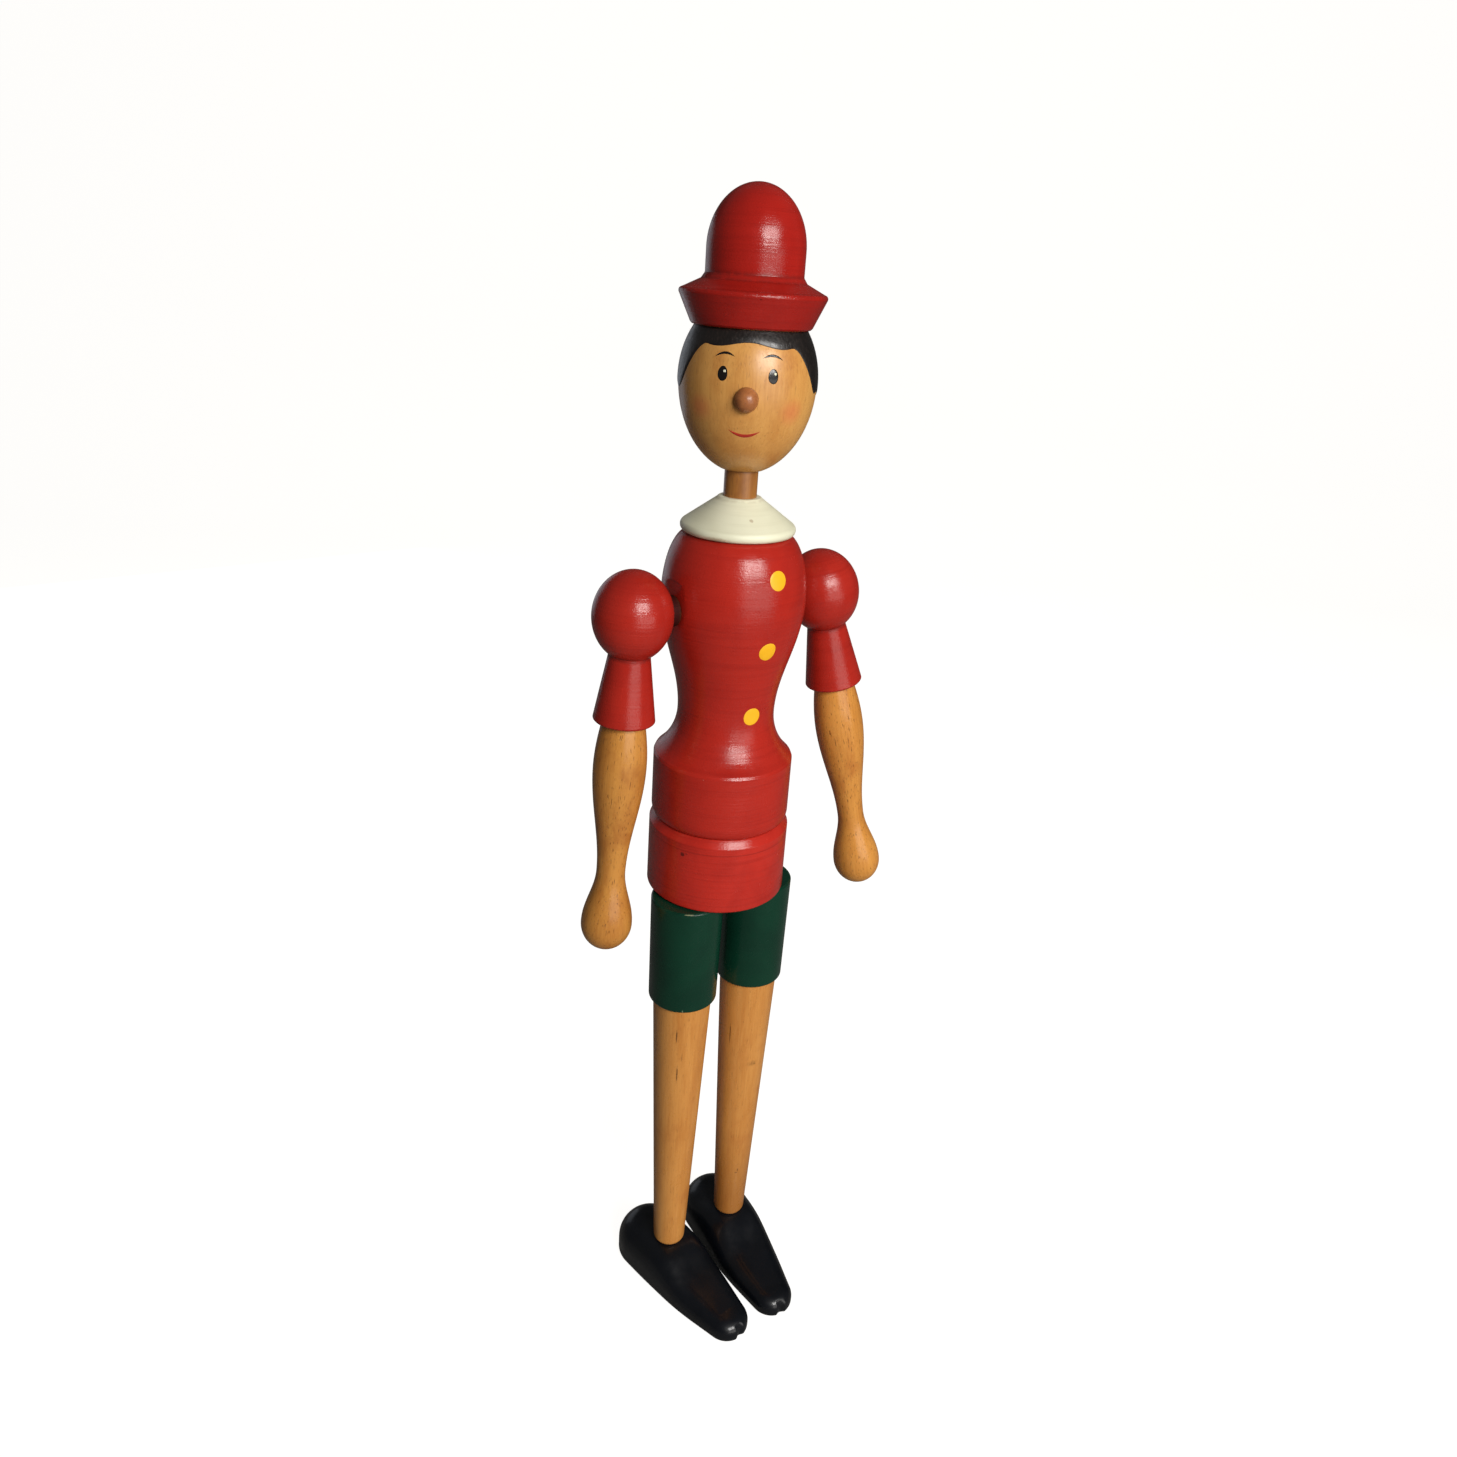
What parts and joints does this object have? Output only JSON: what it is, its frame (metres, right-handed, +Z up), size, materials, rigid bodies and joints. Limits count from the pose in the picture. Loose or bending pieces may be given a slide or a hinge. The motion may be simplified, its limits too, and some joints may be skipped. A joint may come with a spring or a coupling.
{
  "type": "jointed wooden doll",
  "caption": "Standing turned-wood doll with painted jacket, shorts, collar, round hat and carved shoes; its head, waist, arms and legs turn on wooden pegs.",
  "frame": {"origin": "on the floor, under the middle of the doll's bounding box", "axes": "+Z up; the body and shoes face -Y; the doll's left is +X"},
  "size_m": [0.1712, 0.1047, 0.5733],
  "materials": {
    "red_paint": "gloss red paint on turned wood, with fine turning lines and a few chips",
    "cream_paint": "satin cream paint on turned wood, grimy at the rim",
    "green_paint": "gloss dark green paint on turned wood",
    "black_paint": "gloss black paint on carved wood",
    "varnished_wood": "clear-varnished beech, ambered, with dark flecks",
    "inner_wood": "bare beech dowel",
    "steel": "zinc-plated steel",
    "elastic": "covered elastic cord"
  },
  "bodies": {
    "hips": {"hip_block": "red_paint"},
    "torso": {"torso": "red_paint", "collar": "cream_paint", "neck_dowel": "varnished_wood", "neck_screw": "steel", "neck_washer": "steel", "waist_dowel": "inner_wood", "waist_screw": "steel", "waist_washer": "steel", "shoulder_cord": "elastic"},
    "head": {"head": "varnished_wood", "hat": "red_paint", "nose_peg": "varnished_wood"},
    "arm_left": {"upper_arm_left": "red_paint", "shoulder_peg_left": "inner_wood", "elbow_peg_left": "inner_wood", "forearm_left": "varnished_wood"},
    "arm_right": {"upper_arm_right": "red_paint", "shoulder_peg_right": "inner_wood", "elbow_peg_right": "inner_wood", "forearm_right": "varnished_wood"},
    "leg_left": {"thigh_left": "green_paint", "leg_peg_left": "inner_wood", "leg_screw_left": "steel", "leg_washer_left": "steel", "shin_left": "varnished_wood", "shoe_left": "black_paint"},
    "leg_right": {"thigh_right": "green_paint", "leg_peg_right": "inner_wood", "leg_screw_right": "steel", "leg_washer_right": "steel", "shin_right": "varnished_wood", "shoe_right": "black_paint"}
  },
  "joints": [
    {"name": "waist_turn", "type": "hinge", "parent": "hips", "child": "torso", "pos_m": [-0.01211, 0.0179, 0.2924], "axis": [0, 0, 1], "continuous": true},
    {"name": "head_turn", "type": "hinge", "parent": "torso", "child": "head", "pos_m": [-0.01211, 0.0179, 0.46032], "axis": [0, 0, 1], "continuous": true},
    {"name": "arm_swing_left", "type": "hinge", "parent": "torso", "child": "arm_left", "pos_m": [0.04089, 0.0179, 0.39932], "axis": [-1, 0, 0], "continuous": true},
    {"name": "arm_swing_right", "type": "hinge", "parent": "torso", "child": "arm_right", "pos_m": [-0.06511, 0.0179, 0.39932], "axis": [-1, 0, 0], "continuous": true},
    {"name": "leg_twist_left", "type": "hinge", "parent": "hips", "child": "leg_left", "pos_m": [0.00889, 0.0104, 0.2532], "axis": [0, 0, 1], "range_deg": [-4, 13]},
    {"name": "leg_twist_right", "type": "hinge", "parent": "hips", "child": "leg_right", "pos_m": [-0.03311, 0.0104, 0.2532], "axis": [0, 0, -1], "range_deg": [-1, 16]}
  ]
}
